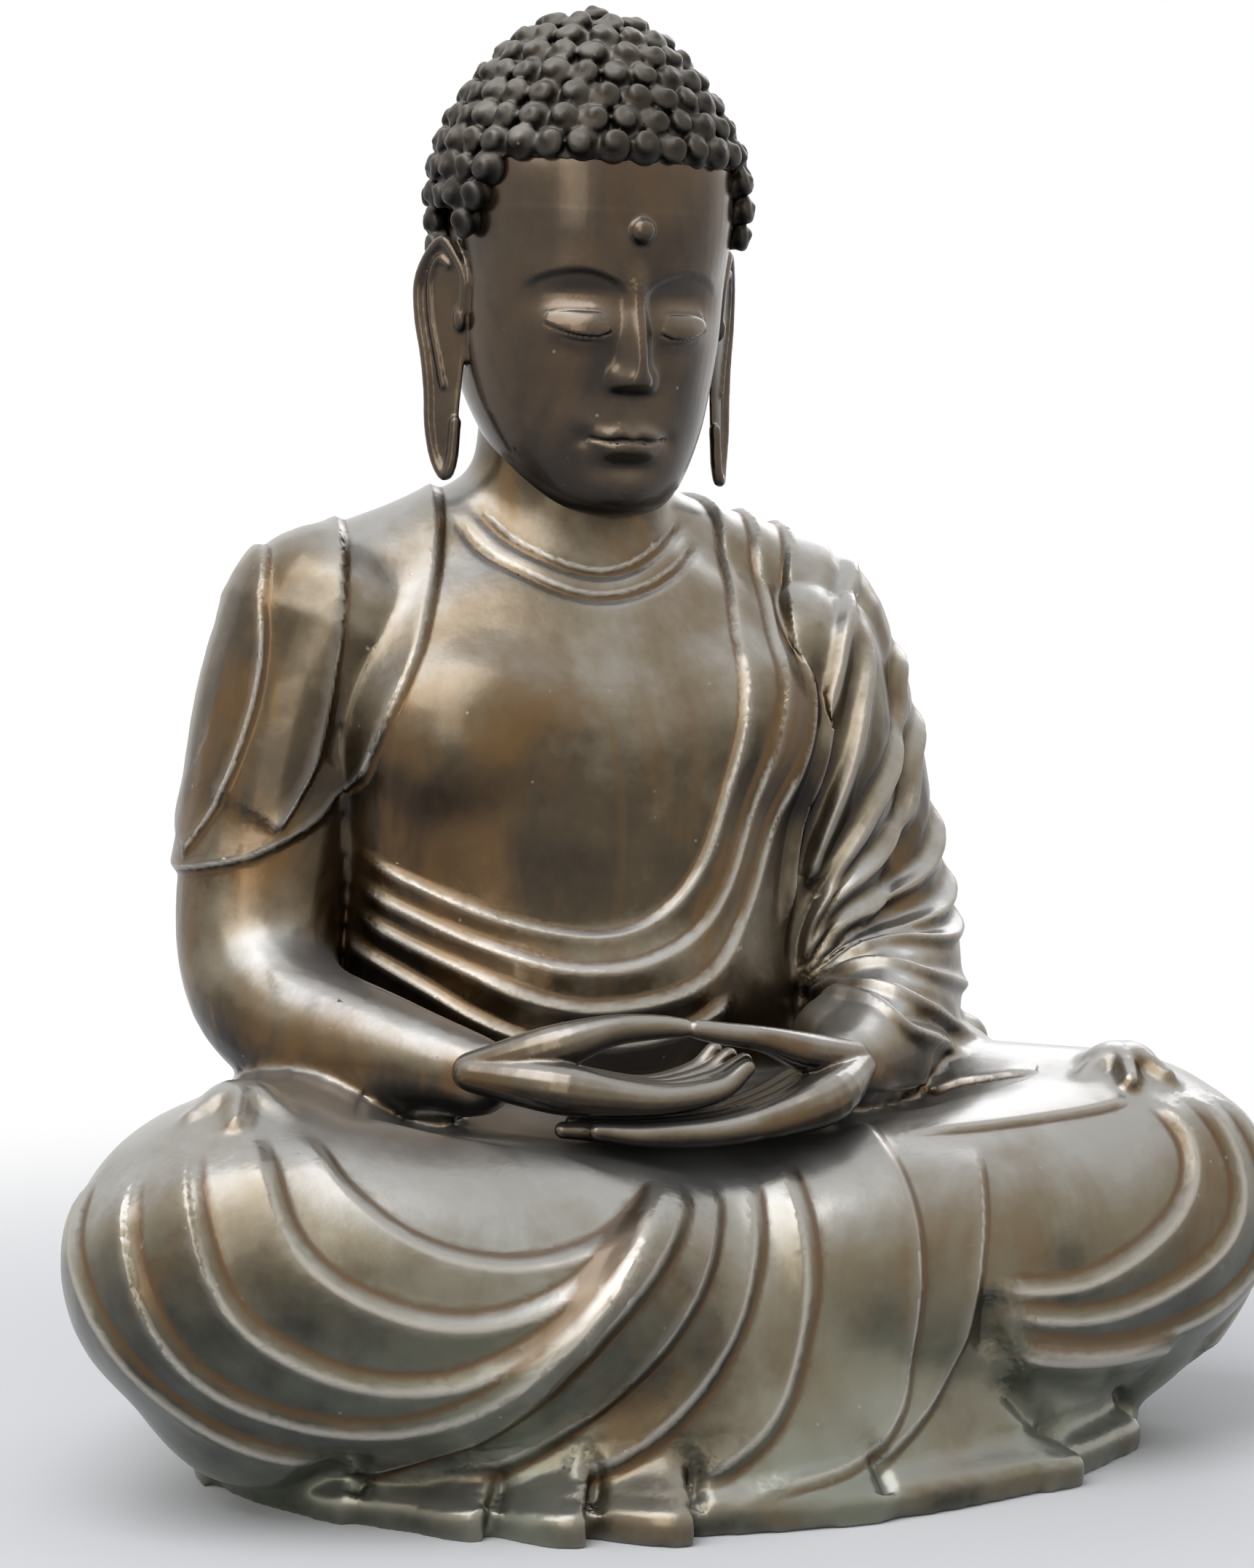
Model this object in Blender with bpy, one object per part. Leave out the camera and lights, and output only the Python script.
"""Seated Buddha, one hollow bronze casting.

Metres, +Z up. The figure faces -Y, and the origin is on the ground under the middle
of the robe. Its own right hand side is -X.
"""
import math

import bmesh
import bpy
import numpy as np
from mathutils import Matrix, Vector
from mathutils.bvhtree import BVHTree
from mathutils.kdtree import KDTree

for old in list(bpy.data.objects):
    bpy.data.objects.remove(old)

# Driving dimensions.
AXIS_Y = 0.165          # the spine's place behind the middle of the robe
BROW_Z = 1.142          # height of the brow line
HEAD_X = 0.012
HEAD_Y = AXIS_Y - 0.030
HEAD_TILT = math.radians(8)
EYE_X = 0.053
KNEE_X = 0.430          # knee centre, sideways from the robe's middle
KNEE_Y = -0.140
KNEE_Z = 0.220
KNEE_R = 0.156
ROBE_X = 0.022          # the lap's middle, to the figure's left of the spine
MIDDLE = (0.0225, -0.009)   # the whole robe's middle on the ground, seen from the spine's line
HEM = 0.024             # thickness of the robe's edge on the ground
# Pleats of the hem: degrees from the front, and how far each stands out.
PLEATS = [(-41, 0.012), (-31, 0.018), (-20, 0.018), (3, 0.005), (31, 0.014), (52, 0.010), (78, 0.012),
          (104, 0.010), (128, 0.012), (156, 0.010), (183, 0.012), (214, 0.010), (243, 0.012), (275, 0.010),
          (302, 0.008)]
KNOTS = [(-0.420, -0.155, 0.366), (0.450, -0.175, 0.366)]
WALL = 0.030            # casting wall where the robe is plain
CURL = 0.031            # curl width
ROW = 0.026             # from one row of curls to the next

SOFT_VOXEL = 0.012
CLOTH_VOXEL = 0.0075
SKIN_VOXEL = 0.0042
BODY_TRIANGLES = 4380
HEAD_TRIANGLES = 1600
HAIR_TRIANGLES = 2500
HAND_TRIANGLES = 760


# Bronze.
def bronze():
    material = bpy.data.materials.new("cast_bronze")
    material.use_nodes = True
    shader = material.node_tree.nodes["Principled BSDF"]
    shader.inputs["Base Color"].default_value = (0.085, 0.055, 0.028, 1.0)
    shader.inputs["Metallic"].default_value = 0.9
    shader.inputs["Roughness"].default_value = 0.38
    return material


# Mesh tools.
def new_object(name, mesh):
    item = bpy.data.objects.new(name, mesh)
    bpy.context.scene.collection.objects.link(item)
    return item


def spline(points, steps):
    """Catmull-Rom curve through rows of numbers."""
    rows = np.array(points, dtype=float)
    ends = np.vstack([2 * rows[0] - rows[1], rows, 2 * rows[-1] - rows[-2]])
    out = []
    for i in range(len(rows) - 1):
        a, b, c, d = ends[i:i + 4]
        for k in range(steps):
            t = k / steps
            out.append(0.5 * (2 * b + (c - a) * t + (2 * a - 5 * b + 4 * c - d) * t ** 2
                              + (3 * b - a - 3 * c + d) * t ** 3))
    out.append(rows[-1])
    return np.array(out)


def loft(bm, rings):
    """Closed skin: a circle is laid on the first ring, then extruded on to each of the others."""
    ring = bmesh.ops.create_circle(bm, cap_ends=True, segments=len(rings[0]), radius=1.0)["verts"]
    for vert, place in zip(ring, rings[0]):
        vert.co = place
    edges = [bm.edges.get((ring[i - 1], ring[i])) for i in range(len(ring))]
    for places in rings[1:]:
        made = bmesh.ops.extrude_edge_only(bm, edges=edges)["geom"]
        fresh = {part for part in made if isinstance(part, bmesh.types.BMVert)}
        ring = [next(e.other_vert(v) for e in v.link_edges if e.other_vert(v) in fresh) for v in ring]
        edges = [bm.edges.get((ring[i - 1], ring[i])) for i in range(len(ring))]
        for vert, place in zip(ring, places):
            vert.co = place
    bmesh.ops.contextual_create(bm, geom=edges)


def stack(bm, rings, around=40):
    """Closed loft of level rings: centre x, y, z, half width, depth to front, depth to back."""
    loops = []
    for x, y, z, width, front, back in rings:
        turns = [2 * math.pi * i / around for i in range(around)]
        loops.append([(x + width * math.cos(a), y + (front if math.sin(a) < 0 else back) * math.sin(a), z)
                      for a in turns])
    loft(bm, loops)


def tube(bm, points, around=20, steps=5):
    """Closed tube along points of x, y, z, radius, with an optional fifth value: its flatness."""
    rows = [tuple(p) + (1.0,) * (5 - len(p)) for p in points]
    path = spline(rows, steps)
    heads = np.vstack([path[:1], path[:-1]])
    tails = np.vstack([path[1:], path[-1:]])
    loops = []
    side = Vector((0, 0, 1))
    for row, head, tail in zip(path, heads, tails):
        along = Vector(tail[:3] - head[:3]).normalized()
        side = (side - along * side.dot(along)).normalized()
        cross = along.cross(side)
        centre = Vector(row[:3])
        loops.append([centre + side * (math.cos(a) * row[3] * row[4]) + cross * (math.sin(a) * row[3])
                      for a in (2 * math.pi * k / around for k in range(around))])
    loft(bm, loops)
    for row in (path[0], path[-1]):
        ball(bm, row[:3], (row[3] * 0.98,) * 3)


def ball(bm, centre, radii, turn=None):
    place = Matrix.Translation(Vector(centre)) @ (turn or Matrix.Identity(4))
    bmesh.ops.create_icosphere(bm, subdivisions=3, radius=1.0,
                               matrix=place @ Matrix.Diagonal((*radii, 1.0)))


def melt(name, bm, voxel, smooth):
    """One skin around everything in bm."""
    mesh = bpy.data.meshes.new(name)
    bmesh.ops.recalc_face_normals(bm, faces=bm.faces)
    bm.to_mesh(mesh)
    bm.free()
    item = new_object(name, mesh)
    remesh = item.modifiers.new("skin", "REMESH")
    remesh.mode = "VOXEL"
    remesh.voxel_size = voxel
    relax = item.modifiers.new("relax", "SMOOTH")
    relax.factor = 0.5
    relax.iterations = smooth
    return bake(item)


def bake(item):
    """Apply an object's modifiers."""
    graph = bpy.context.evaluated_depsgraph_get()
    mesh = bpy.data.meshes.new_from_object(item.evaluated_get(graph))
    item.modifiers.clear()
    item.data = mesh
    return item


# Body under the cloth, as level rings: centre x, y, z, half width, depth to front, depth to back.
TORSO = [
    (0, AXIS_Y, 0.04, 0.300, 0.225, 0.215),
    (0, AXIS_Y, 0.20, 0.290, 0.215, 0.205),
    (0, AXIS_Y, 0.32, 0.268, 0.207, 0.195),
    (0, AXIS_Y, 0.43, 0.252, 0.203, 0.188),
    (0, AXIS_Y, 0.55, 0.262, 0.200, 0.188),
    (0, AXIS_Y, 0.67, 0.285, 0.196, 0.185),
    (0, AXIS_Y + 0.005, 0.76, 0.280, 0.172, 0.172),
    (0, AXIS_Y + 0.010, 0.825, 0.225, 0.140, 0.150),
    (0, AXIS_Y + 0.010, 0.862, 0.150, 0.122, 0.125),
    (0, AXIS_Y, 0.90, 0.104, 0.106, 0.108),
    (0, AXIS_Y - 0.010, 0.96, 0.096, 0.100, 0.104),
    (0, AXIS_Y - 0.020, 1.03, 0.094, 0.100, 0.104),
]
# The skirt spreads from under the hands and down the back to the hem.
SKIRT = [
    (0.040, -0.010, 0.000, 0.470, 0.380, 0.380),
    (0.040, -0.005, 0.050, 0.458, 0.368, 0.374),
    (0.030, 0.000, 0.110, 0.443, 0.350, 0.372),
    (0.020, 0.000, 0.190, 0.415, 0.325, 0.368),
    (0.010, 0.000, 0.260, 0.370, 0.280, 0.358),
    (0.000, 0.000, 0.310, 0.310, 0.210, 0.350),
    (0.000, 0.010, 0.345, 0.240, 0.110, 0.330),
]


def torso():
    bm = bmesh.new()
    y = AXIS_Y
    stack(bm, spline(TORSO, 4))
    for side in (-1, 1):
        # Trapezius, and a soft pectoral.
        tube(bm, [(side * 0.05, y + 0.02, 0.880, 0.078), (side * 0.13, y + 0.02, 0.842, 0.082),
                  (side * 0.25, y + 0.02, 0.790, 0.094)])
        ball(bm, (side * 0.105, y - 0.085, 0.675), (0.145, 0.108, 0.120))
    # Belly.
    ball(bm, (0, y - 0.080, 0.43), (0.200, 0.140, 0.135))
    return melt("torso", bm, SOFT_VOXEL, 14)


def arms(bm):
    y = AXIS_Y
    tube(bm, [(-0.250, y + 0.015, 0.780, 0.108), (-0.287, y + 0.010, 0.690, 0.098),
              (-0.316, y - 0.005, 0.570, 0.086), (-0.334, y - 0.040, 0.465, 0.078),
              (-0.320, y - 0.110, 0.410, 0.070), (-0.258, y - 0.215, 0.386, 0.056),
              (-0.200, y - 0.310, 0.374, 0.038)])
    # The other arm is inside a full sleeve.
    tube(bm, [(0.250, y + 0.015, 0.780, 0.108), (0.287, y + 0.010, 0.690, 0.103),
              (0.310, y - 0.005, 0.570, 0.098), (0.325, y - 0.030, 0.465, 0.096),
              (0.305, y - 0.095, 0.405, 0.088), (0.250, y - 0.210, 0.378, 0.066),
              (0.180, y - 0.300, 0.366, 0.040)])
    ball(bm, (0.330, y - 0.010, 0.400), (0.090, 0.120, 0.080))
    # Its cloth hangs from the forearm and lies over the thigh.
    tube(bm, [(0.215, y - 0.215, 0.372, 0.060, 0.60), (0.285, y - 0.160, 0.372, 0.080, 0.45),
              (0.365, y - 0.115, 0.366, 0.065, 0.30), (0.400, y - 0.100, 0.360, 0.030, 0.30)])
    # Cloth fills the space between that arm and the chest.
    tube(bm, [(0.240, y - 0.060, 0.750, 0.080), (0.245, y - 0.070, 0.640, 0.085),
              (0.240, y - 0.075, 0.530, 0.075), (0.225, y - 0.080, 0.440, 0.060)])


def lap():
    bm = bmesh.new()
    y = AXIS_Y
    for side in (-1, 1):
        knee = ROBE_X + side * KNEE_X
        tube(bm, [(side * 0.14, y, 0.190, 0.165), (side * 0.28, y - 0.09, 0.212, 0.160),
                  (knee, KNEE_Y, KNEE_Z, KNEE_R * 0.98)])
        ball(bm, (knee, KNEE_Y, KNEE_Z), (KNEE_R * 1.08, KNEE_R * 1.06, KNEE_R * 0.98))
        tube(bm, [(knee, KNEE_Y - 0.015, KNEE_Z - 0.01, KNEE_R * 0.97),
                  (side * 0.28, -0.200, 0.195, 0.142), (side * 0.10, -0.215, 0.180, 0.132)])
        # Under the knee the cloth draws in to the hem.
        tube(bm, [(knee, KNEE_Y, KNEE_Z, KNEE_R * 0.95), (knee * 0.955, KNEE_Y, 0.125, 0.122),
                  (knee * 0.88, KNEE_Y + 0.01, 0.090, 0.085)])
        ball(bm, (side * 0.19, y + 0.035, 0.170), (0.205, 0.180, 0.165))
    stack(bm, spline(SKIRT, 4), around=64)
    return melt("lap", bm, SOFT_VOXEL, 26)


def knee_knots(bm):
    """The robe's cloth is knotted on both knees, with short tails."""
    for x, y, z in KNOTS:
        ball(bm, (x, y, z - 0.004), (0.040, 0.030, 0.022))
        for turn, reach in ((200, 0.055), (250, 0.060), (300, 0.055), (20, 0.045), (150, 0.045)):
            dx, dy = math.cos(math.radians(turn)) * reach, math.sin(math.radians(turn)) * reach
            tube(bm, [(x + 0.3 * dx, y + 0.3 * dy, z + 0.006, 0.012),
                      (x + dx, y + dy, z - 0.014, 0.009)], around=10)


def hem_grow(turn):
    """How far the hem stands out at an angle from the front, in degrees, with its pleats."""
    grow = 0.0
    for at, deep in PLEATS:
        gap = (at - turn + 180) % 360 - 180
        if 0 <= gap < 11:
            grow += deep * (1 - gap / 11) ** 1.4
        elif -1.6 < gap < 0:
            grow += deep * (1 + gap / 1.6)
    return grow


def hem(bm, around=300):
    turns = [360 * i / around for i in range(around)]
    loft(bm, [[hem_point(turn, z, inset - hem_grow(turn)) for turn in turns]
              for z, inset in ((0.0, 0.0), (HEM, 0.0), (HEM + 0.006, 0.005), (HEM + 0.014, 0.016),
                               (HEM + 0.030, 0.034), (HEM + 0.060, 0.056))])
    # A pleat's edge rolls over as it comes down to the hem.
    for at, deep in PLEATS:
        roll = [(0.3, 0.014, 0.004 - deep, 0.011), (1.2, 0.030, 0.012, 0.010),
                (-0.5, 0.045, 0.030, 0.009), (-3.0, 0.062, 0.055, 0.006)]
        tube(bm, [hem_point(at + aside, z, inset) + (radius,) for aside, z, inset, radius in roll], around=12)


def hem_point(turn, z, inset=0.0):
    a = math.radians(turn)
    depth = 0.388 if math.cos(a) > 0 else 0.385
    return (0.043 + (0.474 - inset) * math.sin(a), -0.010 - (depth - inset) * math.cos(a), z)


# Folds. Each is a line on the cloth. Its left hand side stands proud and its right hand
# side drops by a narrow ledge, so a row of them overlaps like shingles.
def sheaf(first, last, count):
    """Folds shared out evenly between two of them."""
    a, b = spline(first, 6), spline(last, 6)
    n = min(len(a), len(b))
    a = a[np.linspace(0, len(a) - 1, n).astype(int)]
    b = b[np.linspace(0, len(b) - 1, n).astype(int)]
    return [a + (b - a) * k / (count - 1) for k in range(count)]


def numbers(collection, key, wide):
    out = np.empty(len(collection) * wide)
    collection.foreach_get(key, out)
    return out.reshape(-1, wide) if wide > 1 else out


def drape(item, groups):
    """Raise a skin along folds.

    Each fold is a line on the cloth. Its left hand side stands proud and fades away, and its
    right hand side drops by a narrow ledge into a crease, so a row of them overlaps like
    shingles.
    """
    mesh = item.data
    place = numbers(mesh.vertices, "co", 3)
    normal = numbers(mesh.vertex_normals, "vector", 3)
    tree = BVHTree.FromPolygons(place.tolist(), [p.vertices[:] for p in mesh.polygons])
    rise = np.zeros(len(place))
    for folds, height, ledge, fade, how in groups:
        taper = how.get("taper", (0.12, 0.12))
        soft = how.get("soft", False)
        groove = how.get("groove", 0.0)
        lip = how.get("lip", 0.0016)
        reach = max(fade * 2.5, ledge * 2.5)
        across = np.arange(-0.08, fade * 4 + 0.08, 0.0005)
        if soft:
            profile = height * np.exp(-(across / ledge) ** 2)
            profile -= groove * np.exp(-((across + 2.2 * ledge) / (1.2 * ledge)) ** 2)
        else:
            profile = np.where(across > 0, height * np.exp(-np.maximum(across, 0) / fade),
                               height * np.clip(1 + across / ledge, 0, 1))
            profile -= groove * np.exp(-((across + ledge) / (0.6 * ledge)) ** 2)
            kernel = np.exp(-(np.arange(-20, 21) * 0.0005 / lip) ** 2)
            profile = np.convolve(np.pad(profile, 20, "edge"), kernel / kernel.sum(), "valid")
        highest, lowest = np.zeros((2, len(place)))
        for fold in folds:
            line = spline(fold, 8) if isinstance(fold, list) else fold
            line = np.array([tree.find_nearest(Vector(p))[0] for p in line])
            for _ in range(3):
                line[1:-1] = (line[:-2] + 2 * line[1:-1] + line[2:]) / 4
            steps = np.linalg.norm(np.diff(line, axis=0), axis=1)
            length = np.concatenate([[0], np.cumsum(steps)])
            even = np.linspace(0, length[-1], max(8, int(length[-1] / 0.004)))
            line = np.stack([np.interp(even, length, line[:, k]) for k in range(3)], 1)
            up = np.array([tree.find_nearest(Vector(p))[1] for p in line])
            for _ in range(6):
                up[1:-1] = (up[:-2] + 2 * up[1:-1] + up[2:]) / 4
            along = np.gradient(line, axis=0)
            along /= np.linalg.norm(along, axis=1)[:, None] + 1e-12
            left = np.cross(up, along)
            share = even / length[-1]
            ends = (np.clip(share / max(taper[0], 1e-6), 0, 1)
                    * np.clip((1 - share) / max(taper[1], 1e-6), 0, 1))
            ends = ends * ends * (3 - 2 * ends)
            near = np.nonzero(np.all((place > line.min(0) - reach)
                                     & (place < line.max(0) + reach), 1))[0]
            if not len(near):
                continue
            finder = KDTree(len(line))
            for i, point in enumerate(line):
                finder.insert(point, i)
            finder.balance()
            best = np.array([finder.find(v)[1] for v in place[near].tolist()])
            arm = place[near] - line[best]
            arm -= along[best] * (arm * along[best]).sum(1)[:, None]
            side = np.copysign(np.linalg.norm(arm, axis=1), (arm * left[best]).sum(1))
            facing = np.clip(((normal[near] * up[best]).sum(1) - 0.1) / 0.5, 0, 1)
            past = (best == 0) | (best == len(line) - 1)
            hold = np.where(past, 0.0, ends[best] * facing)
            lift = np.interp(side, across, profile, 0, 0) * hold
            if soft:
                # Where soft folds of a group meet they don't pile up.
                highest[near] = np.maximum(highest[near], lift)
                lowest[near] = np.minimum(lowest[near], lift)
                continue
            rise[near] += lift
        rise += highest + lowest
    place += normal * rise[:, None]
    mesh.vertices.foreach_set("co", place.ravel())
    mesh.update()


def lap_folds():
    near = sheaf([(-0.065, -0.275, 0.285), (-0.14, -0.33, 0.245), (-0.235, -0.335, 0.23),
                  (-0.32, -0.32, 0.255), (-0.37, -0.28, 0.30), (-0.39, -0.22, 0.34)],
                 [(-0.095, -0.315, 0.255), (-0.235, -0.335, 0.145), (-0.33, -0.30, 0.105),
                  (-0.425, -0.275, 0.115), (-0.51, -0.26, 0.17), (-0.51, -0.18, 0.32)], 4)
    near.append([(-0.36, -0.25, 0.05), (-0.45, -0.24, 0.09), (-0.54, -0.22, 0.165),
                 (-0.565, -0.175, 0.24), (-0.54, -0.12, 0.30)])
    lap_edge = [(-0.11, -0.29, 0.29), (-0.17, -0.255, 0.312), (-0.26, -0.225, 0.33),
                (-0.33, -0.17, 0.345)]
    far_edge = [(0.165, -0.245, 0.316), (0.25, -0.258, 0.320), (0.33, -0.255, 0.325),
                (0.39, -0.247, 0.330), (0.436, -0.235, 0.338)]
    fan = sheaf([(-0.35, -0.21, 0.035), (-0.28, -0.29, 0.085), (-0.16, -0.345, 0.19),
                 (-0.10, -0.33, 0.24), (-0.055, -0.265, 0.285)],
                [(-0.09, -0.365, 0.035), (-0.01, -0.36, 0.08), (0.03, -0.345, 0.15),
                 (0.05, -0.315, 0.23), (0.055, -0.24, 0.30)], 4)
    panels = [[(-0.04, -0.385, 0.030), (0.065, -0.375, 0.045), (0.13, -0.345, 0.10),
               (0.148, -0.338, 0.22), (0.15, -0.27, 0.30), (0.16, -0.18, 0.33)],
              [(0.075, -0.38, 0.035), (0.16, -0.35, 0.09), (0.195, -0.335, 0.14),
               (0.21, -0.34, 0.22), (0.235, -0.28, 0.31)]]
    far = sheaf([(0.44, -0.23, 0.335), (0.465, -0.27, 0.30), (0.455, -0.295, 0.255),
                 (0.41, -0.315, 0.215), (0.32, -0.335, 0.18), (0.215, -0.34, 0.185)],
                [(0.51, -0.215, 0.335), (0.55, -0.265, 0.26), (0.545, -0.27, 0.18),
                 (0.47, -0.285, 0.135), (0.36, -0.30, 0.125), (0.225, -0.335, 0.145)], 3)
    far.append([(0.45, -0.28, 0.115), (0.35, -0.305, 0.115), (0.24, -0.33, 0.13)])
    far.append([(0.60, -0.10, 0.30), (0.61, -0.15, 0.22), (0.58, -0.19, 0.14), (0.50, -0.23, 0.08)])
    valley = [[(0.222, -0.335, 0.19), (0.225, -0.335, 0.14), (0.24, -0.34, 0.11)],
              [(0.24, -0.34, 0.105), (0.28, -0.33, 0.07), (0.33, -0.31, 0.04)]]
    # Round the sides and the back the robe falls in broad plain folds.
    sides = []
    for side in (-1, 1):
        for k in range(3):
            top, low = 0.09 * k, 0.05 + 0.10 * k
            sides.append([(side * (0.50 - 0.05 * k), top, 0.30), (side * (0.52 - 0.04 * k), low, 0.20),
                          (side * (0.49 - 0.04 * k), low + 0.03, 0.10),
                          (side * (0.47 - 0.04 * k), low + 0.05, 0.04)])
    # Beside each rolled pleat there is a hollow.
    pleats = [[hem_point(at + 3.3, 0.022, 0.004), hem_point(at + 3.6, 0.045, 0.022),
               hem_point(at + 1.5, 0.075, 0.050)] for at, _ in PLEATS]
    return [(near + fan, 0.0105, 0.014, 0.060, {}),
            ([lap_edge, far_edge], 0.0050, 0.008, 0.030, {"taper": (0.3, 0.2)}),
            (panels, 0.008, 0.009, 0.045, {}),
            (far, 0.0105, 0.014, 0.050, {}),
            (valley, -0.012, 0.013, 0.010, {"soft": True, "taper": (0.3, 0.4)}),
            (sides, 0.007, 0.016, 0.010, {"soft": True, "taper": (0.25, 0.1)}),
            (pleats, -0.009, 0.009, 0.010, {"soft": True, "taper": (0.0, 0.6)})]


def robe_folds():
    y = AXIS_Y
    # One edge runs up the cape from the right arm, round the nape and down across the chest.
    edge = [(-0.37, y + 0.07, 0.600), (-0.40, y + 0.03, 0.560), (-0.40, 0.135, 0.553),
            (-0.37, 0.085, 0.562), (-0.33, 0.075, 0.577), (-0.265, 0.07, 0.62), (-0.215, 0.03, 0.72),
            (-0.172, 0.08, 0.82), (-0.155, 0.115, 0.875), (-0.140, 0.16, 0.91),
            (-0.105, 0.235, 0.905), (-0.055, 0.268, 0.892), (0.0, 0.278, 0.887), (0.055, 0.268, 0.892),
            (0.105, 0.235, 0.905), (0.148, 0.165, 0.91), (0.146, 0.097, 0.851), (0.132, 0.035, 0.79),
            (0.112, -0.025, 0.67), (0.075, -0.025, 0.565), (0.03, -0.035, 0.51),
            (-0.035, -0.04, 0.487), (-0.115, -0.01, 0.50), (-0.21, 0.05, 0.545)]
    straps = sheaf([(0.17, y + 0.10, 0.82), (0.188, y + 0.03, 0.885), (0.186, y - 0.02, 0.868),
                    (0.174, 0.058, 0.79), (0.139, -0.015, 0.65), (0.095, -0.02, 0.53),
                    (0.045, -0.038, 0.475), (-0.033, -0.045, 0.453), (-0.113, -0.02, 0.465),
                    (-0.21, 0.055, 0.517)],
                   [(0.21, y + 0.10, 0.80), (0.228, y + 0.03, 0.87), (0.225, y - 0.02, 0.85),
                    (0.216, 0.08, 0.79), (0.166, -0.005, 0.63), (0.115, -0.015, 0.50),
                    (0.06, -0.04, 0.44), (-0.03, -0.05, 0.42), (-0.11, -0.03, 0.43),
                    (-0.21, 0.06, 0.49)], 2)
    straps.append([(0.10, -0.03, 0.43), (0.03, -0.045, 0.395), (-0.05, -0.045, 0.385),
                   (-0.13, -0.015, 0.40), (-0.21, 0.06, 0.455)])
    cape = [[(-0.335, 0.075, 0.582), (-0.315, 0.075, 0.61), (-0.285, 0.078, 0.67),
             (-0.265, 0.075, 0.78), (-0.24, 0.165, 0.89), (-0.22, 0.25, 0.86)],
            [(-0.40, 0.135, 0.56), (-0.37, 0.105, 0.63), (-0.335, 0.10, 0.74),
             (-0.315, 0.145, 0.85), (-0.30, 0.24, 0.84)]]
    # The full sleeve's folds all run in to the bend of the elbow.
    bend = (0.197, 0.030, 0.422)
    sleeve = [[(0.31, 0.20, 0.86), (0.291, 0.106, 0.841), (0.253, 0.039, 0.787), (0.237, 0.023, 0.737),
               (0.209, 0.011, 0.653), (0.187, 0.024, 0.566), (0.180, 0.020, 0.480)],
              [(0.285, 0.055, 0.790), (0.271, 0.027, 0.729), (0.252, 0.013, 0.660), (0.227, 0.014, 0.592),
               (0.205, 0.022, 0.520)],
              [(0.365, 0.190, 0.780), (0.345, 0.110, 0.741), (0.335, 0.083, 0.690), (0.302, 0.034, 0.636),
               (0.271, 0.016, 0.595), (0.220, 0.020, 0.510), bend],
              [(0.395, 0.180, 0.720), (0.364, 0.100, 0.666), (0.343, 0.071, 0.600), (0.297, 0.035, 0.563),
               (0.230, 0.019, 0.508), bend],
              [(0.415, 0.170, 0.620), (0.392, 0.104, 0.572), (0.366, 0.070, 0.542), (0.332, 0.055, 0.522),
               (0.285, 0.036, 0.505), (0.240, 0.021, 0.485), bend],
              [(0.420, 0.150, 0.550), (0.394, 0.082, 0.507), (0.360, 0.049, 0.490), (0.316, 0.029, 0.481),
               (0.260, 0.022, 0.470), bend],
              [(0.420, 0.130, 0.500), (0.393, 0.067, 0.472), (0.350, 0.030, 0.467), (0.300, 0.012, 0.468),
               (0.247, 0.010, 0.458), bend],
              [(0.415, 0.080, 0.430), (0.385, 0.037, 0.421), (0.351, -0.004, 0.429), (0.296, -0.040, 0.440),
               (0.245, -0.020, 0.451), bend],
              [(0.375, -0.020, 0.365), (0.340, -0.044, 0.387), (0.284, -0.086, 0.412), (0.251, -0.086, 0.428),
               (0.221, -0.046, 0.435), bend],
              [(0.350, -0.060, 0.350), (0.310, -0.075, 0.375), (0.260, -0.118, 0.390), (0.231, -0.125, 0.404),
               (0.212, -0.080, 0.427), (0.190, -0.030, 0.430)]]
    back = sheaf([(0.26, 0.20, 0.86), (0.20, 0.30, 0.78), (0.06, 0.35, 0.66), (-0.10, 0.345, 0.58),
                  (-0.24, 0.27, 0.55)],
                 [(0.34, 0.24, 0.62), (0.22, 0.32, 0.48), (0.04, 0.36, 0.38), (-0.14, 0.355, 0.34),
                  (-0.29, 0.28, 0.34)], 5)
    neck = [[(-0.13, 0.13, 0.903), (-0.10, 0.077, 0.855), (-0.026, 0.034, 0.82),
             (0.054, 0.047, 0.837), (0.122, 0.112, 0.883)],
            [(-0.115, 0.13, 0.922), (-0.084, 0.077, 0.875), (-0.022, 0.044, 0.846),
             (0.039, 0.053, 0.858), (0.112, 0.119, 0.906)]]
    chest = [[(0.0, 0.0, 0.74), (0.0, -0.03, 0.66), (0.0, -0.04, 0.58), (-0.005, -0.04, 0.52)]]
    return [([edge], 0.0085, 0.008, 0.050, {"taper": (0.02, 0.04)}),
            (straps, 0.0085, 0.010, 0.040, {"taper": (0.08, 0.06)}),
            (cape, 0.0075, 0.006, 0.070, {"taper": (0.04, 0.15)}),
            (sleeve, 0.0095, 0.0080, 0.012, {"taper": (0.22, 0.10), "soft": True, "groove": 0.004}),
            (back, 0.0070, 0.014, 0.050, {"taper": (0.2, 0.2)}),
            (chest, -0.005, 0.016, 0.010, {"soft": True, "taper": (0.4, 0.3)}),
            (neck, 0.0, 0.008, 0.010, {"groove": 0.004})]


def robed_body():
    bm = bmesh.new()
    for piece in (torso(), lap()):
        bm.from_mesh(piece.data)
        bpy.data.objects.remove(piece)
    arms(bm)
    knee_knots(bm)
    hem(bm)
    body = melt("body", bm, CLOTH_VOXEL, 4)
    fine = body.modifiers.new("fine", "SUBSURF")
    fine.levels = fine.render_levels = 1
    bake(body)
    drape(body, lap_folds() + robe_folds())
    return thin(body, BODY_TRIANGLES)


def thin(item, triangles):
    """Keep the shape with this many triangles."""
    faces = sum(len(p.vertices) - 2 for p in item.data.polygons)
    fewer = item.modifiers.new("fewer", "DECIMATE")
    fewer.ratio = triangles / faces
    fewer.use_collapse_triangulate = True
    return bake(item)


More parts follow.
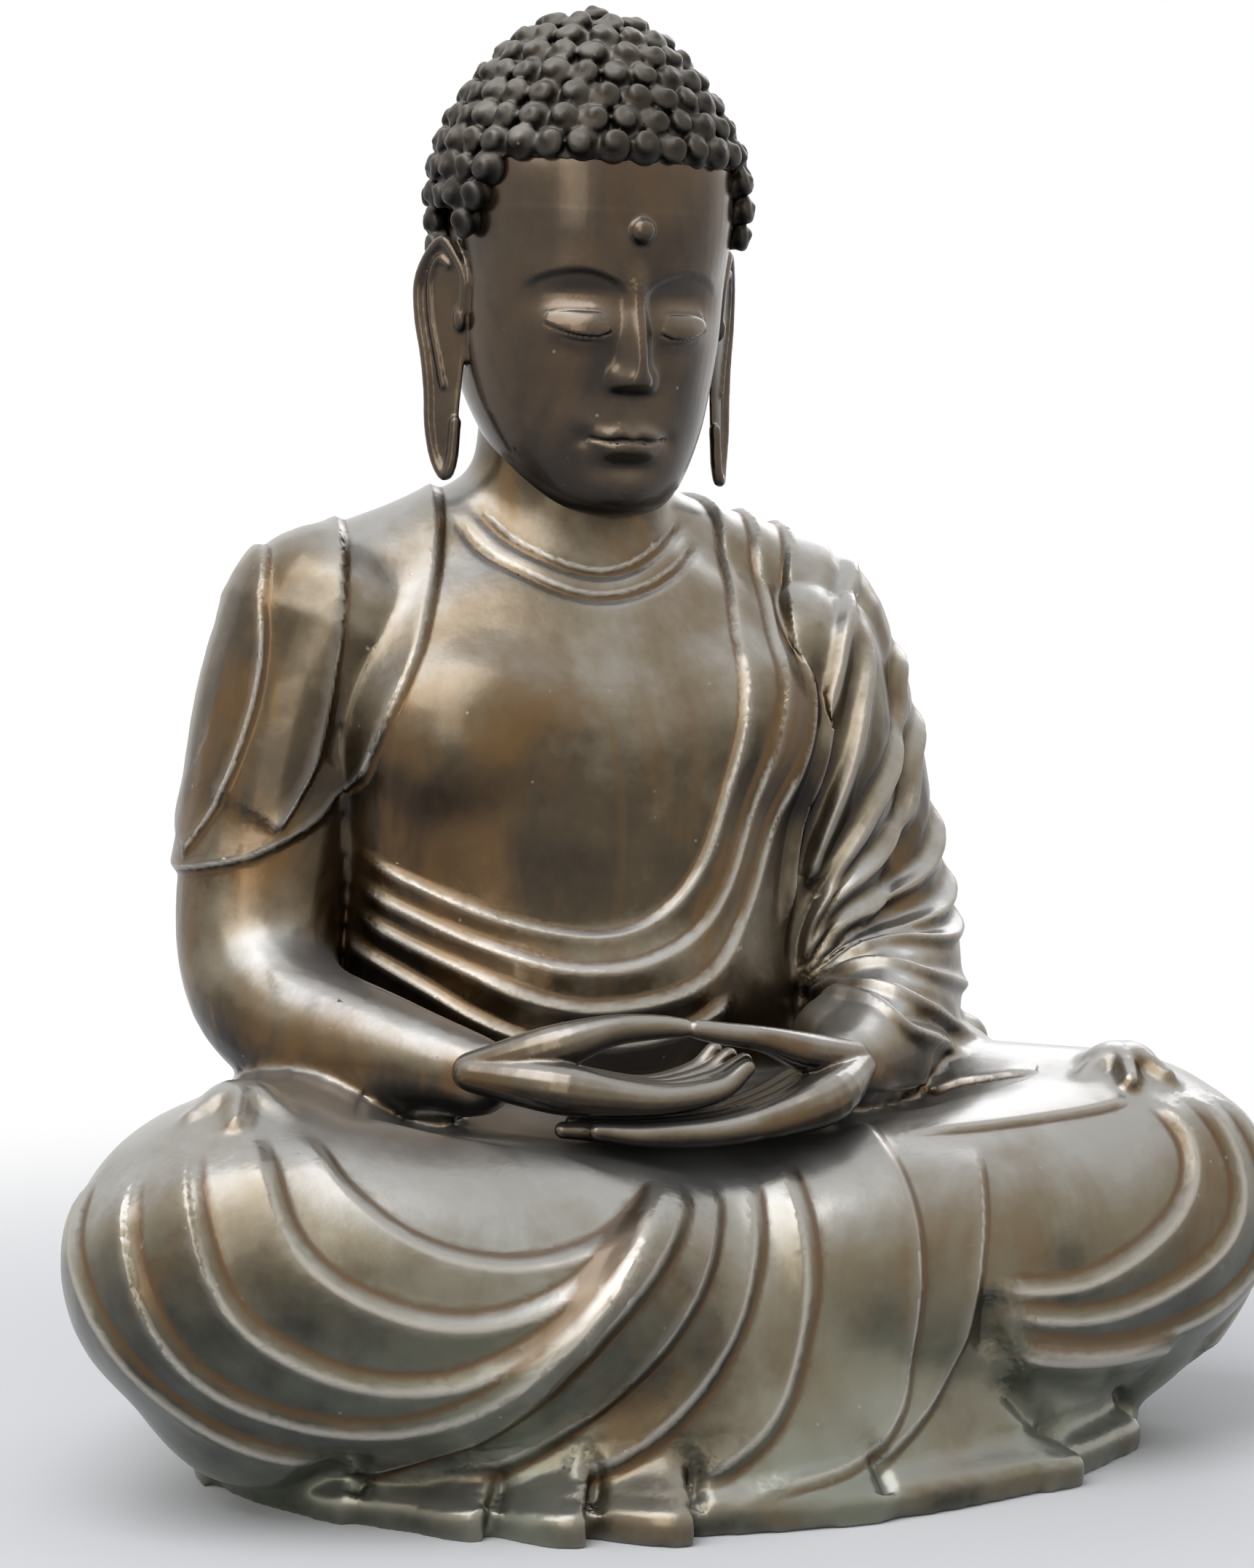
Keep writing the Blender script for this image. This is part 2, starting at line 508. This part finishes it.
# Head, in its own frame: the origin is between the brows' ends, on the head's upright axis.
def head_frame():
    return (Matrix.Translation((HEAD_X, HEAD_Y, BROW_Z))
            @ Matrix.Rotation(HEAD_TILT, 4, "X"))


def skull(bm):
    stack(bm, spline([
        (0, -0.080, -0.233, 0.034, 0.036, 0.040),
        (0, -0.066, -0.223, 0.064, 0.063, 0.060),
        (0, -0.042, -0.196, 0.091, 0.094, 0.085),
        (0, -0.020, -0.152, 0.113, 0.119, 0.105),
        (0, 0.000, -0.108, 0.125, 0.138, 0.125),
        (0, 0.000, -0.055, 0.133, 0.142, 0.150),
        (0, 0.000, 0.000, 0.137, 0.143, 0.165),
        (0, 0.000, 0.060, 0.142, 0.148, 0.172),
        (0, 0.005, 0.117, 0.140, 0.146, 0.168),
        (0, 0.010, 0.155, 0.120, 0.125, 0.145),
        (0, 0.012, 0.190, 0.090, 0.095, 0.105),
    ], 4), around=48)
    # Neck.
    tube(bm, [(0, 0.000, -0.080, 0.100), (0, 0.015, -0.170, 0.096), (0, 0.020, -0.260, 0.100)])


def relief(x, z):
    """How far the face stands forward of a plain egg, at x across and z up."""
    def mound(cx, cz, rx, rz, high, power=2.0):
        return high * np.exp(-(np.abs((np.abs(x) - cx) / rx) ** power + np.abs((z - cz) / rz) ** power))

    def ease(value, start, stop):
        t = np.clip((value - start) / (stop - start), 0, 1)
        return t * t * (3 - 2 * t)

    out = mound(0.052, -0.026, 0.040, 0.022, -0.011)            # eye sockets
    out += mound(EYE_X, -0.043, 0.031, 0.018, 0.0125, 2.4)      # eyes under their lids
    out += mound(0.070, -0.095, 0.050, 0.045, 0.005)            # cheeks
    out += mound(0.0, -0.150, 0.040, 0.030, 0.006)              # round the mouth
    out += mound(0.0, -0.210, 0.034, 0.022, 0.007)              # chin
    out += mound(0.0, -0.184, 0.022, 0.008, -0.004)             # under the lower lip
    # Nose: it rises evenly from the bridge to the tip, then turns in to the lip.
    down = ease(z, 0.012, -0.095)
    high = 0.005 + 0.023 * down ** 1.2
    wide = 0.0085 + 0.0045 * down
    blade = np.exp(-np.abs(x / wide) ** 2.6) * ease(z, 0.020, -0.010) * ease(z, -0.112, -0.101)
    out += high * blade
    wings = mound(0.0155, -0.0985, 0.0085, 0.0115, 0.0125, 2.4) * ease(z, -0.1125, -0.104)
    out += wings
    out += mound(0.0, -0.124, 0.004, 0.014, -0.0016)            # groove over the lip
    # Lips: the upper one dips in the middle, the lower one is fuller.
    rim = -0.1455 - 0.004 * np.exp(-(x / 0.006) ** 2) - 0.35 * np.maximum(np.abs(x) - 0.010, 0) ** 1.15
    upper = np.exp(-((z - (rim - 0.0035)) / 0.0062) ** 2) * ease(np.abs(x), 0.043, 0.020)
    lower = np.exp(-((z + 0.1655) / 0.0080) ** 2) * ease(np.abs(x), 0.038, 0.012)
    out += 0.0058 * upper + 0.0072 * lower
    out += mound(0.044, -0.156, 0.008, 0.008, -0.0030)          # corners of the mouth
    return out


# Blade of the ear: height over the brow, sideways, back, half width, half thickness, and how
# far it turns out from the head, in degrees.
EAR = [(0.024, 0.150, 0.004, 0.010, 0.0045, 30), (0.010, 0.150, 0.004, 0.022, 0.0045, 30),
       (-0.015, 0.149, 0.004, 0.031, 0.0050, 32), (-0.050, 0.148, 0.003, 0.029, 0.0050, 35),
       (-0.085, 0.146, 0.000, 0.023, 0.0048, 38), (-0.120, 0.146, -0.003, 0.018, 0.0048, 40),
       (-0.155, 0.147, -0.006, 0.016, 0.0048, 40), (-0.185, 0.146, -0.011, 0.013, 0.0048, 38),
       (-0.201, 0.146, -0.017, 0.007, 0.0040, 30)]


def ear(bm, side):
    """A blade that stands away from the head, with a rolled rim that runs down to a long lobe."""
    def spot(z, share, lift=0.0):
        down = [-row[0] for row in EAR]
        x, y, wide, turn = (np.interp(-z, down, [row[k] for row in EAR]) for k in (1, 2, 3, 5))
        a = math.radians(turn)
        return (side * (x + share * wide * math.sin(a) + lift * math.cos(a)),
                y + share * wide * math.cos(a) - lift * math.sin(a), z)

    turns = [2 * math.pi * k / 24 for k in range(24)]
    loft(bm, [[spot(row[0], math.cos(a), row[4] * math.sin(a)) for a in turns] for row in spline(EAR, 3)])
    rim = [(-0.040, -0.90), (-0.008, -1.00), (0.014, -0.85), (0.027, 0.00), (0.012, 0.90), (-0.015, 1.00),
           (-0.050, 1.00), (-0.085, 1.00), (-0.120, 1.00), (-0.155, 0.95), (-0.186, 0.85), (-0.203, 0.00),
           (-0.188, -0.80), (-0.150, -0.90)]
    tube(bm, [spot(z, share, 0.003) + (0.0060,) for z, share in rim], around=16)
    # The fold inside the rim, and the knob over the ear hole.
    fold = [(0.004, -0.35), (0.009, 0.20), (-0.012, 0.50), (-0.050, 0.45), (-0.085, 0.30), (-0.115, 0.00)]
    tube(bm, [spot(z, share, 0.004) + (0.0042,) for z, share in fold], around=12)
    ball(bm, spot(-0.048, -0.75, 0.004), (0.007, 0.009, 0.013))


def face_lines():
    brows, lids, folds, unders = [], [], [], []
    for side in (-1, 1):
        order = slice(None) if side > 0 else slice(None, None, -1)
        brows.append([(side * 0.011, -0.150, -0.026), (side * 0.018, -0.144, -0.004),
                      (side * 0.050, -0.134, 0.009), (side * 0.085, -0.112, 0.003),
                      (side * 0.106, -0.090, -0.014)][order])
        lids.append([(side * 0.0250, -0.132, -0.0500), (side * 0.040, -0.138, -0.0540),
                     (side * 0.056, -0.136, -0.0545), (side * 0.072, -0.126, -0.0505),
                     (side * 0.086, -0.112, -0.0440)][order])
        folds.append([(side * 0.0270, -0.132, -0.0400), (side * 0.040, -0.136, -0.0320),
                      (side * 0.056, -0.134, -0.0290), (side * 0.072, -0.124, -0.0320),
                      (side * 0.087, -0.110, -0.0390)][order])
        unders.append([(side * 0.0300, -0.132, -0.0580), (side * 0.045, -0.138, -0.0625),
                       (side * 0.060, -0.134, -0.0625), (side * 0.076, -0.122, -0.0560)][order])
    mouth = [(-0.042, -0.128, -0.1545), (-0.020, -0.143, -0.1575), (-0.006, -0.146, -0.1562),
             (0, -0.147, -0.1570), (0.006, -0.146, -0.1562), (0.020, -0.143, -0.1575),
             (0.042, -0.128, -0.1545)]
    return [(brows, 0.0030, 0.007, 0.022, {"taper": (0.2, 0.3), "lip": 0.0012}),
            (lids, 0.0024, 0.0020, 0.010, {"taper": (0.08, 0.08), "groove": 0.0018, "lip": 0.0005}),
            (folds, -0.0010, 0.0018, 0.010, {"soft": True, "taper": (0.2, 0.25)}),
            (unders, -0.0007, 0.0022, 0.010, {"soft": True, "taper": (0.3, 0.3)}),
            ([mouth], -0.0034, 0.0022, 0.006, {"soft": True, "taper": (0.10, 0.10)})]


def head():
    bm = bmesh.new()
    skull(bm)
    item = melt("skull", bm, SKIN_VOXEL, 4)
    place = numbers(item.data.vertices, "co", 3)
    front = np.clip(-place[:, 1] / 0.05, 0, 1)
    place[:, 1] -= relief(place[:, 0], place[:, 2]) * front
    item.data.vertices.foreach_set("co", place.ravel())
    item.data.update()
    bm = bmesh.new()
    bm.from_mesh(item.data)
    bpy.data.objects.remove(item)
    ball(bm, (0, -0.1475, 0.046), (0.0125, 0.0110, 0.0125))
    ear(bm, -1)
    ear(bm, 1)
    item = melt("head", bm, SKIN_VOXEL * 0.8, 1)
    drape(item, face_lines())
    item.data.transform(head_frame())
    return thin(item, HEAD_TRIANGLES)


# Hair: snail shell curls in level rows on a cap that rises to a cone.
# Each row of the list is height over the brow, y, half width, depth to front, depth to back.
CAP = [(-0.115, 0.004, 0.110, 0.118, 0.135), (-0.060, 0.004, 0.134, 0.140, 0.156),
       (0.000, 0.004, 0.143, 0.148, 0.170), (0.060, 0.004, 0.151, 0.152, 0.177),
       (0.110, 0.006, 0.147, 0.149, 0.172), (0.150, 0.010, 0.130, 0.133, 0.152),
       (0.184, 0.012, 0.108, 0.110, 0.122), (0.214, 0.014, 0.082, 0.083, 0.091),
       (0.236, 0.016, 0.053, 0.054, 0.058), (0.249, 0.016, 0.024, 0.024, 0.026)]


def hairline(turn):
    """Lowest curl height at an angle from the face, in radians."""
    stops = np.radians([0, 38, 56, 68, 78, 84, 100, 112, 180])
    return float(np.interp(abs(turn), stops, [0.124, 0.122, 0.098, 0.050, 0.005, 0.060, 0.050, -0.070, -0.095]))


def curl_places():
    """Centre and outward direction of every curl."""
    path = spline(CAP, 20)
    climb = np.linalg.norm(np.diff(path[:, [0, 2]], axis=0), axis=1)
    climb = np.concatenate([[0], np.cumsum(climb)])
    start = np.interp(0.124, path[:, 0], climb)
    first = -int(start / ROW)
    last = int((climb[-1] - start) / ROW) + 1
    places = []
    for row in range(first, last + 1):
        at = min(start + row * ROW, climb[-1])
        z, y, width, front, back = (np.interp(at, climb, path[:, k]) for k in range(5))
        if row == last:
            places.append((Vector((0, y, CAP[-1][0] + 0.002)), Vector((0, 0, 1))))
            break
        count = max(3, round(math.pi * (width + 0.5 * (front + back)) / CURL))
        for k in range(count):
            turn = 2 * math.pi * (k + 0.5 * (row % 2)) / count
            bend = (turn + math.pi) % (2 * math.pi) - math.pi
            if z < hairline(bend) - 0.004:
                continue
            depth = front if math.cos(turn) > 0 else back
            spot = Vector((width * math.sin(turn), y - depth * math.cos(turn), z))
            slope = np.interp(at + 0.004, climb, path[:, 2]) - np.interp(at - 0.004, climb, path[:, 2])
            out = Vector((math.sin(turn) / width, -math.cos(turn) / depth, 0)).normalized()
            out = (out * math.sqrt(max(0.0, 1 - (slope / 0.008) ** 2)) + Vector((0, 0, -slope / 0.008))).normalized()
            places.append((spot, out))
    return places


def hair():
    bm = bmesh.new()
    rings = [(0, y, z, width, front, back) for z, y, width, front, back in spline(CAP, 3)]
    stack(bm, [r for r in rings if r[2] > 0.108], around=48)
    for centre, out in curl_places():
        turn = out.to_track_quat("Z", "Y").to_matrix().to_4x4()
        ball(bm, centre, (CURL * 0.50, CURL * 0.50, CURL * 0.46), turn)
    item = melt("hair", bm, SKIN_VOXEL * 0.95, 0)
    item.data.transform(head_frame())
    return thin(item, HAIR_TRIANGLES)


# Hands, laid in the lap palm upward with the thumb tips together.
def hands():
    bm = bmesh.new()
    for k in range(4):
        y = -0.245 + 0.021 * k
        tube(bm, [(-0.205, -0.190 + 0.010 * k, 0.379, 0.026), (-0.155, y + 0.012, 0.372, 0.024),
                  (-0.105, y, 0.364, 0.0190), (-0.050, y, 0.359, 0.0145),
                  (0.000, y + 0.003, 0.366 + 0.002 * k, 0.0120),
                  (0.033 - 0.006 * abs(k - 1), y + 0.006, 0.383 + 0.003 * k, 0.0085)], around=12)
        y -= 0.005
        tube(bm, [(0.158, -0.185 + 0.008 * k, 0.368, 0.027), (0.112, y + 0.014, 0.352, 0.024),
                  (0.060, y + 0.002, 0.338, 0.0185), (0.000, y, 0.328, 0.0135),
                  (-0.070, y + 0.002, 0.327, 0.0112),
                  (-0.120 - 0.025 * (k == 1), y + 0.006, 0.333, 0.0080)], around=12)
    tube(bm, [(-0.200, -0.190, 0.384, 0.027), (-0.155, -0.215, 0.406, 0.0215),
              (-0.102, -0.226, 0.420, 0.0150), (-0.058, -0.231, 0.4225, 0.0115),
              (-0.033, -0.233, 0.421, 0.0090)], around=12)
    tube(bm, [(0.150, -0.190, 0.378, 0.025), (0.098, -0.215, 0.392, 0.0190),
              (0.048, -0.231, 0.407, 0.0125), (0.003, -0.236, 0.415, 0.0105),
              (-0.022, -0.236, 0.420, 0.0090)], around=12)
    item = melt("hands", bm, 0.0036, 2)
    return thin(item, HAND_TRIANGLES)


def unite(base, other, operation="UNION"):
    cut = base.modifiers.new("join", "BOOLEAN")
    cut.operation = operation
    cut.solver = "EXACT"
    cut.object = other
    bake(base)
    bpy.data.objects.remove(other)


ROOM = 4.0              # side of the block that stands for all above the ground
# The waist is where the core leaves the skirt's rings for the torso's.
WAIST_Z = 0.300
# The head's part of the core: height over the brow, half width, depth to front, depth to back.
CORE_HEAD = [(-0.020, 0.134, 0.125, 0.160), (0.060, 0.140, 0.132, 0.170), (0.117, 0.138, 0.130, 0.165),
             (0.155, 0.120, 0.112, 0.140), (0.190, 0.086, 0.082, 0.098)]


def core():
    """The space left by the casting core, open at the ground: the body's own rings, a wall smaller."""
    bm = bmesh.new()
    low = [ring for ring in SKIRT if ring[2] < WAIST_Z]
    high = [ring for ring in TORSO if ring[2] > WAIST_Z]
    rings = [(x, y, z, width - WALL, front - WALL, back - WALL) for x, y, z, width, front, back in low + high]
    mouth = rings[0]
    rings.insert(0, mouth[:2] + (mouth[2] - WALL,) + mouth[3:])
    for z, width, front, back in CORE_HEAD:
        rings.append((HEAD_X, HEAD_Y - z * math.sin(HEAD_TILT), BROW_Z + z * math.cos(HEAD_TILT),
                      width - WALL, front - WALL, back - WALL))
    stack(bm, spline(rings, 1), around=20)
    mesh = bpy.data.meshes.new("core")
    bmesh.ops.recalc_face_normals(bm, faces=bm.faces)
    bm.to_mesh(mesh)
    bm.free()
    cutter = new_object("core", mesh)
    cutter.hide_render = True
    cutter.display_type = "WIRE"
    return cutter


def above_ground():
    """A block that holds all that stands on the ground, which cuts the skin's foot off flat."""
    bm = bmesh.new()
    bmesh.ops.create_cube(bm, size=ROOM, matrix=Matrix.Translation((0, 0, ROOM / 2)))
    mesh = bpy.data.meshes.new("above_ground")
    bm.to_mesh(mesh)
    bm.free()
    cutter = new_object("above_ground", mesh)
    cutter.hide_render = True
    cutter.display_type = "WIRE"
    return cutter


def drop_slivers(bm):
    """Keep the largest shell, without the flat slivers that a cut can leave beside it."""
    left, shells = set(bm.faces), []
    while left:
        shell = set()
        edge_of = {left.pop()}
        while edge_of:
            shell |= edge_of
            edge_of = {near for face in edge_of for edge in face.edges for near in edge.link_faces} - shell
        left -= shell
        shells.append(shell)
    for shell in sorted(shells, key=len)[:-1]:
        verts = {vert for face in shell for vert in face.verts}
        bmesh.ops.delete(bm, geom=list(verts), context="VERTS")


def casting():
    """Everything in one skin, with the core's space inside and a flat rim on the ground."""
    body = robed_body()
    unite(body, above_ground(), "INTERSECT")
    for piece in (head(), hair(), hands()):
        unite(body, piece)
    unite(body, core(), "DIFFERENCE")
    bm = bmesh.new()
    bm.from_mesh(body.data)
    bmesh.ops.triangulate(bm, faces=bm.faces)
    drop_slivers(bm)
    bmesh.ops.translate(bm, verts=bm.verts, vec=(-MIDDLE[0], -MIDDLE[1], 0))
    bm.to_mesh(body.data)
    bm.free()
    body.name = "seated_figure"
    body.data.materials.clear()
    body.data.materials.append(bronze())
    return body


if __name__ == "__main__":
    casting()
